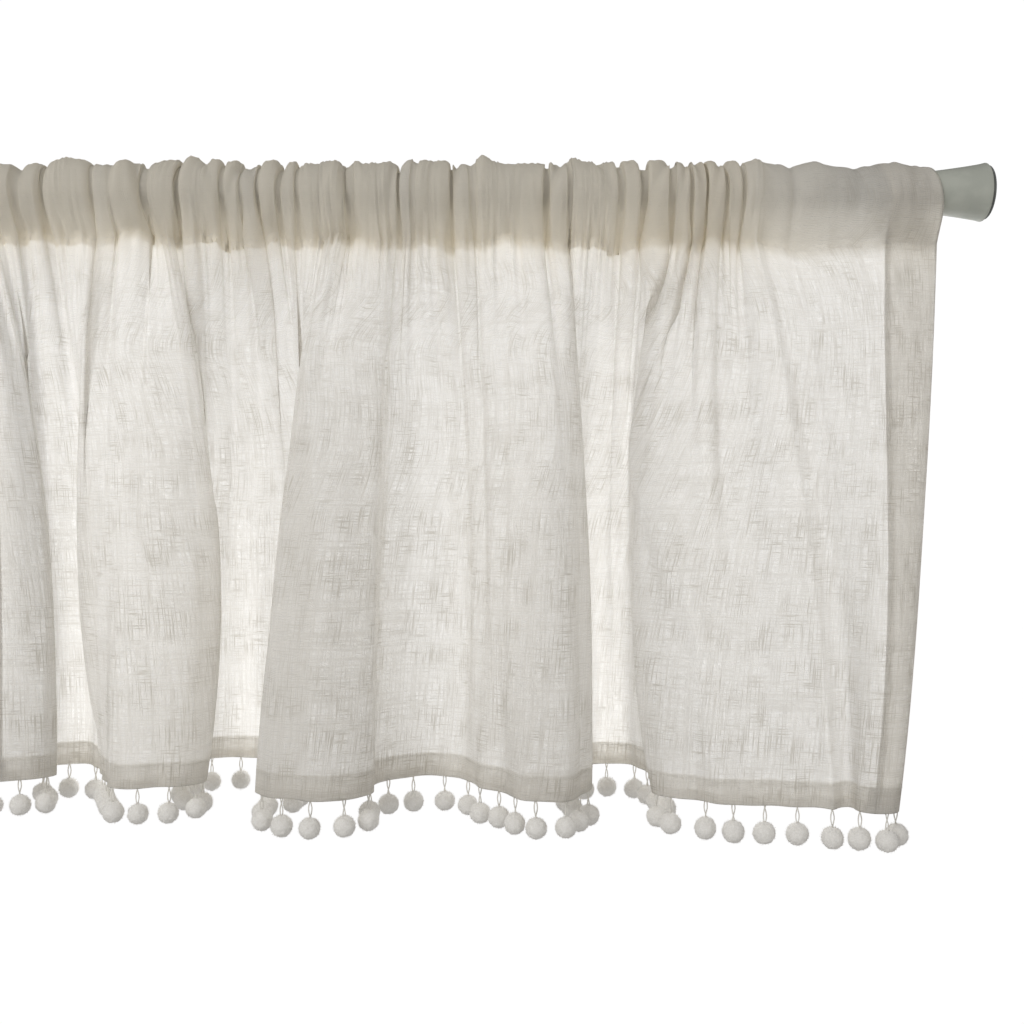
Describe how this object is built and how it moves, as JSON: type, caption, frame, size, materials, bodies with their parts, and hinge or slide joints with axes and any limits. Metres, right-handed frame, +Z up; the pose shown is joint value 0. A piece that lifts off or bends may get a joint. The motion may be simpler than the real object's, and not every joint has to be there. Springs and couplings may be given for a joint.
{
  "type": "valance curtain on tension rod",
  "caption": "Short sheer curtain gathered on a tension rod, with hemmed edges, deep uneven folds and a pompom trim hanging from its bottom hem.",
  "frame": {"origin": "centre of the left end pad's outer face, on the rod's axis", "axes": "+X along the rod to its right end, -Y towards the room, +Z up"},
  "size_m": [0.69, 0.1672, 0.413],
  "materials": {
    "sheer_cloth": "matte slub weave",
    "cotton_trim": "fluffy cotton",
    "rod_finish": "satin",
    "cap_plastic": "satin",
    "pad_rubber": "matte"
  },
  "bodies": {
    "root": {"panel": "sheer_cloth", "pompom_trim": "cotton_trim", "rod": "rod_finish", "end_cap_left": "cap_plastic", "end_cap_right": "cap_plastic", "end_pad_left": "pad_rubber", "end_pad_right": "pad_rubber"}
  },
  "joints": []
}
